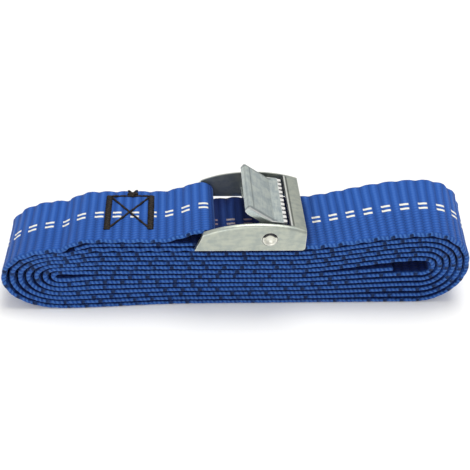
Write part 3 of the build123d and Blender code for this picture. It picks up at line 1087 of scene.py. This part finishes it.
class STRAP_OT_sewing(bpy.types.Operator):
    """Sew the loop shut: two bars, the cross, the edge run, the knot and the bobbin thread"""

    bl_idname = "strap.sewing"
    bl_label = "Sewing"

    def keep(self, mesh, name, material, node):
        piece = finish_piece(mesh, name, material)
        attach(piece, "strap")
        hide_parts(node)
        return piece

    def knot(self, radius):
        """The tangle at the middle of the edge run, and its two loose ends."""
        mesh = bmesh.new()
        centre_x = (REAR_TACK_X + FRONT_TACK_X) / 2 + 0.6
        centre_y = TACK_FAR_Y + 0.75
        for k in range(7):
            turn = k * 2.1
            points = []
            for i in range(26):
                a = 2 * pi * i / 25
                wide = 1.35 - 0.10 * k
                points.append(
                    sewn_point(
                        centre_x + wide * cos(a + turn) + 0.18 * sin(3 * a + k),
                        centre_y + 0.42 * sin(a + turn) * cos(k * 0.8) + 0.16 * cos(2 * a + k),
                        0.22 + 0.14 * sin(2 * a + k) + 0.03 * k,
                        UPPER_FACE_Z,
                        1,
                    )
                )
            tube(mesh, points, radius * 0.85, 6)
        for way, lift in ((-1, 0.30), (1, 0.42)):
            points = [
                Vector((centre_x + way * 0.2, centre_y, UPPER_FACE_Z + 0.25)),
                Vector((centre_x + way * 0.5, centre_y + 0.7, UPPER_FACE_Z + lift)),
                Vector((centre_x + way * 1.0, centre_y + 1.3, UPPER_FACE_Z + lift + 0.1)),
                Vector((centre_x + way * 1.6, centre_y + 1.85, UPPER_FACE_Z + 0.25)),
            ]
            tube(mesh, [p * MM for p in curve_through(points, steps=5)], radius * 0.8, 6, True)
        return mesh

    def execute(self, context):
        settings = context.scene.strap_settings
        radius = settings.thread_radius
        material = thread_material(settings)
        for x, name, node in (
            (REAR_TACK_X, "bar_of_stitches_rear", "rear_bar_tack"),
            (FRONT_TACK_X, "bar_of_stitches_front", "front_bar_tack"),
        ):
            mesh = bmesh.new()
            bar_of_stitches(mesh, x, UPPER_FACE_Z, 1, radius)
            self.keep(mesh, name, material, node)
        mesh = bmesh.new()
        cross_of_stitches(mesh, UPPER_FACE_Z, 1, radius * 0.92)
        self.keep(mesh, "cross_of_stitches", material, "cross_stitches")
        mesh = bmesh.new()
        start, end = (REAR_TACK_X + 0.6, TACK_FAR_Y - 0.2), (FRONT_TACK_X - 0.6, TACK_FAR_Y - 0.2)
        run_of_stitches(mesh, start, end, 2.4, UPPER_FACE_Z, 1, radius * 0.92)
        self.keep(mesh, "edge_run", material, "edge_stitch_run")
        self.keep(self.knot(radius), "knot_and_tails", material, "thread_knot")
        mesh = bmesh.new()
        for x in (REAR_TACK_X, FRONT_TACK_X):
            bar_of_stitches(mesh, x, UNDER_FACE_Z, -1, radius * 0.8)
        cross_of_stitches(mesh, UNDER_FACE_Z, -1, radius * 0.8)
        self.keep(mesh, "under_thread", material, "bobbin_thread")
        return {"FINISHED"}


# ---------------------------------------------------------------- buckle


class STRAP_OT_buckle(bpy.types.Operator):
    """Plate the buckle frame and the cam lever"""

    bl_idname = "strap.buckle"
    bl_label = "Buckle"

    def coat(self, node, material):
        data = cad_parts[node].data
        for k in range(len(data.materials)):
            data.materials[k] = material
        if not data.materials:
            data.materials.append(material)

    def execute(self, context):
        settings = context.scene.buckle_settings
        self.coat(
            "buckle_frame",
            plated_material(
                "plated frame",
                settings.frame_colour,
                0.8,
                0.42,
                (0.35, 1.0, 1.0),
                marks=bridge_lip_painted_light,
            ),
        )
        self.coat(
            "cam_lever",
            plated_material(
                "plated lever",
                settings.lever_colour,
                1.0,
                0.36,
                (2.2, 0.25, 1.0),
                marks=lever_painted_light,
            ),
        )
        return {"FINISHED"}


class STRAP_OT_pin(bpy.types.Operator):
    """Turn and peen the pivot pin, dished at both ends"""

    bl_idname = "strap.pin"
    bl_label = "Pivot Pin"

    SIDES = 48
    # (off the axis, out from the middle) of one half, from the shank to the dish
    HALF_PROFILE = [
        (1.6, 0.0),
        (1.6, 12.9),
        (1.62, 13.95),
        (2.12, 13.98),
        (2.28, 14.2),
        (2.26, 14.45),
        (2.05, 14.62),
        (1.85, 14.60),
        (1.62, 14.35),
        (1.30, 13.95),
        (0.85, 13.68),
        (0.40, 13.58),
    ]

    def half(self, mesh, way, waist):
        """One half of the pin, joined to the ring round its waist."""
        previous = waist
        for off, out in self.HALF_PROFILE[1:]:
            ring = []
            for k in range(self.SIDES):
                a = 2 * pi * k / self.SIDES
                place = (PIVOT_X + off * cos(a), way * out, PIVOT_Z + off * sin(a))
                ring.append(mesh.verts.new(Vector(place) * MM))
            for k in range(self.SIDES):
                nxt = (k + 1) % self.SIDES
                mesh.faces.new((previous[k], previous[nxt], ring[nxt], ring[k]))
            previous = ring
        mesh.faces.new(previous)

    def execute(self, context):
        mesh = bmesh.new()
        waist = []
        for k in range(self.SIDES):
            a = 2 * pi * k / self.SIDES
            off = self.HALF_PROFILE[0][0]
            place = (PIVOT_X + off * cos(a), 0.0, PIVOT_Z + off * sin(a))
            waist.append(mesh.verts.new(Vector(place) * MM))
        self.half(mesh, -1, waist)
        self.half(mesh, 1, waist)
        material = plated_material(
            "pin steel", (0.74, 0.74, 0.68), 0.4, 0.45, (1.0, 1.0, 1.0), 0.0, painted_shade_crescent
        )
        piece = finish_piece(mesh, "peened_pin", material)
        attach(piece, "buckle")
        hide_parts("pivot_pin")
        return {"FINISHED"}


class STRAP_OT_spring(bpy.types.Operator):
    """Wind the torsion spring on the pivot pin"""

    bl_idname = "strap.spring"
    bl_label = "Torsion Spring"

    def wire_line(self):
        """The wire's middle line: leg under the thumb plate, coil, leg hooked in the flange."""
        start_angle = radians(LEVER_LEG_ANGLE - 90)
        coil = []
        steps = round(COIL_TURNS * 28)
        for i in range(steps + 1):
            turned = 2 * pi * COIL_TURNS * i / steps
            angle = start_angle - turned
            coil.append(
                Vector(
                    (
                        PIVOT_X + COIL_RADIUS * cos(angle),
                        COIL_START_Y + COIL_PITCH * turned / (2 * pi),
                        PIVOT_Z + COIL_RADIUS * sin(angle),
                    )
                )
            )
        first_way = (coil[1] - coil[0]).normalized()
        leg_tip = coil[0] - first_way * LEVER_LEG_LENGTH
        leg = [leg_tip.lerp(coil[0], i / 14) for i in range(14)]
        hook = Vector((FRAME_LEG_X, coil[-1].y, FRAME_LEG_Z))
        way = (hook - coil[-1]).normalized()
        bend_start = hook - way * HOOK_RADIUS
        centre = bend_start + Vector((0, HOOK_RADIUS, 0))
        straight = [coil[-1].lerp(bend_start, i / 12) for i in range(1, 12)]
        bend = [
            centre + way * HOOK_RADIUS * sin(a) - Vector((0, HOOK_RADIUS, 0)) * cos(a)
            for a in [pi / 2 * i / 8 for i in range(9)]
        ]
        end = Vector((hook.x, FRAME_LEG_END_Y, hook.z))
        last = [bend[-1].lerp(end, i / 6) for i in range(1, 7)]
        return [p * MM for p in leg + coil + straight + bend + last]

    def execute(self, context):
        settings = context.scene.buckle_settings
        mesh = bmesh.new()
        tube(mesh, self.wire_line(), settings.wire_radius, 12)
        material = plated_material(
            "spring wire", (0.50, 0.52, 0.53), 0.5, 0.28, (1.0, 1.0, 1.0), 0.0
        )
        piece = finish_piece(mesh, "wound_spring", material)
        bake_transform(piece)
        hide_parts("torsion_spring")
        return {"FINISHED"}


# ---------------------------------------------------------------- stage


class STRAP_OT_stage(bpy.types.Operator):
    """Set the floor, the soft lights and the camera"""

    bl_idname = "strap.stage"
    bl_label = "Stage"

    TARGET = Vector((0.00305, 0.0, 0.0275))

    def add_floor(self, colour):
        mesh = bmesh.new()
        bmesh.ops.create_grid(mesh, x_segments=8, y_segments=8, size=3.0)
        material, tree, shader = new_material("plain floor")
        shade = speckle(tree, own_place(tree), 0.002, 1.0)
        tint = mix(tree, shade, rgba(colour, 0.995), rgba(colour, 1.0))
        tree.links.new(tint, shader.inputs["Base Color"])
        shader.inputs["Roughness"].default_value = 0.9
        shader.inputs["Specular IOR Level"].default_value = 0.1
        floor_piece = finish_piece(mesh, "floor", material)
        floor_piece.location.z = -0.00005

    def add_softbox(self, name, place, size, power, colour=(1.0, 1.0, 1.0)):
        data = bpy.data.lights.new(name, "AREA")
        data.shape = "RECTANGLE"
        data.size, data.size_y = size
        data.energy = power
        data.color = colour
        lamp = bpy.data.objects.new(name, data)
        lamp.location = place
        lamp.rotation_euler = (self.TARGET - Vector(place)).to_track_quat("-Z", "Y").to_euler()
        bpy.context.scene.collection.objects.link(lamp)

    def add_camera(self, settings):
        line_of_sight = Vector(
            (
                sin(settings.heading) * cos(settings.elevation),
                cos(settings.heading) * cos(settings.elevation),
                -sin(settings.elevation),
            )
        )
        data = bpy.data.cameras.new("camera")
        data.sensor_fit = "HORIZONTAL"
        data.sensor_width = 36.0
        data.lens = settings.lens
        data.clip_start = 0.01
        camera = bpy.data.objects.new("camera", data)
        turn = line_of_sight.to_track_quat("-Z", "Y").to_matrix().to_4x4()
        place = Matrix.Translation(Vector((-0.01907, -0.20585, 0.18523)))
        camera.matrix_world = place @ turn @ Matrix.Rotation(settings.roll, 4, "Z")
        bpy.context.scene.collection.objects.link(camera)
        bpy.context.scene.camera = camera

    def execute(self, context):
        settings = context.scene.stage_settings
        self.add_floor(settings.floor_colour)
        world = bpy.data.worlds.new("studio")
        world.use_nodes = True
        sky = world.node_tree.nodes["Background"]
        sky.inputs["Color"].default_value = (1.0, 0.99, 0.975, 1.0)
        sky.inputs["Strength"].default_value = 0.60
        context.scene.world = world
        self.add_softbox("key", (0.10, 0.12, 0.87), (0.45, 0.45), 4.8, (1.0, 0.99, 0.97))
        self.add_softbox("fill", (-0.20, -0.75, 0.38), (0.60, 0.40), 2.0, (1.0, 0.99, 0.98))
        self.add_camera(settings)
        context.scene.view_settings.view_transform = "Standard"
        return {"FINISHED"}


class STRAP_PT_panel(bpy.types.Panel):
    """Lists the steps that build the strap"""

    bl_label = "Lashing Strap"
    bl_idname = "STRAP_PT_panel"
    bl_space_type = "VIEW_3D"
    bl_region_type = "UI"
    bl_category = "Lashing Strap"

    def draw(self, context):
        scene = context.scene
        column = self.layout.column()
        for settings in (scene.strap_settings, scene.buckle_settings, scene.stage_settings):
            for name in settings.__annotations__:
                column.prop(settings, name)
        for operator in OPERATORS:
            column.operator(operator.bl_idname)


OPERATORS = (
    STRAP_OT_webbing,
    STRAP_OT_sewing,
    STRAP_OT_buckle,
    STRAP_OT_pin,
    STRAP_OT_spring,
    STRAP_OT_stage,
)
CLASSES = (StrapSettings, BuckleSettings, StageSettings) + OPERATORS + (STRAP_PT_panel,)


def register():
    for made in CLASSES:
        bpy.utils.register_class(made)
    bpy.types.Scene.strap_settings = bpy.props.PointerProperty(type=StrapSettings)
    bpy.types.Scene.buckle_settings = bpy.props.PointerProperty(type=BuckleSettings)
    bpy.types.Scene.stage_settings = bpy.props.PointerProperty(type=StageSettings)


def unregister():
    del bpy.types.Scene.stage_settings
    del bpy.types.Scene.buckle_settings
    del bpy.types.Scene.strap_settings
    for made in reversed(CLASSES):
        bpy.utils.unregister_class(made)


def main():
    register()
    build_weave_group()
    build_edge_group()
    build_plating_group()
    build_wear_and_highlight_group()
    bpy.ops.strap.stage()
    bpy.ops.strap.webbing()
    bpy.ops.strap.sewing()
    bpy.ops.strap.buckle()
    bpy.ops.strap.pin()
    bpy.ops.strap.spring()
    bpy.context.view_layer.update()


if __name__ == "__main__":
    main()
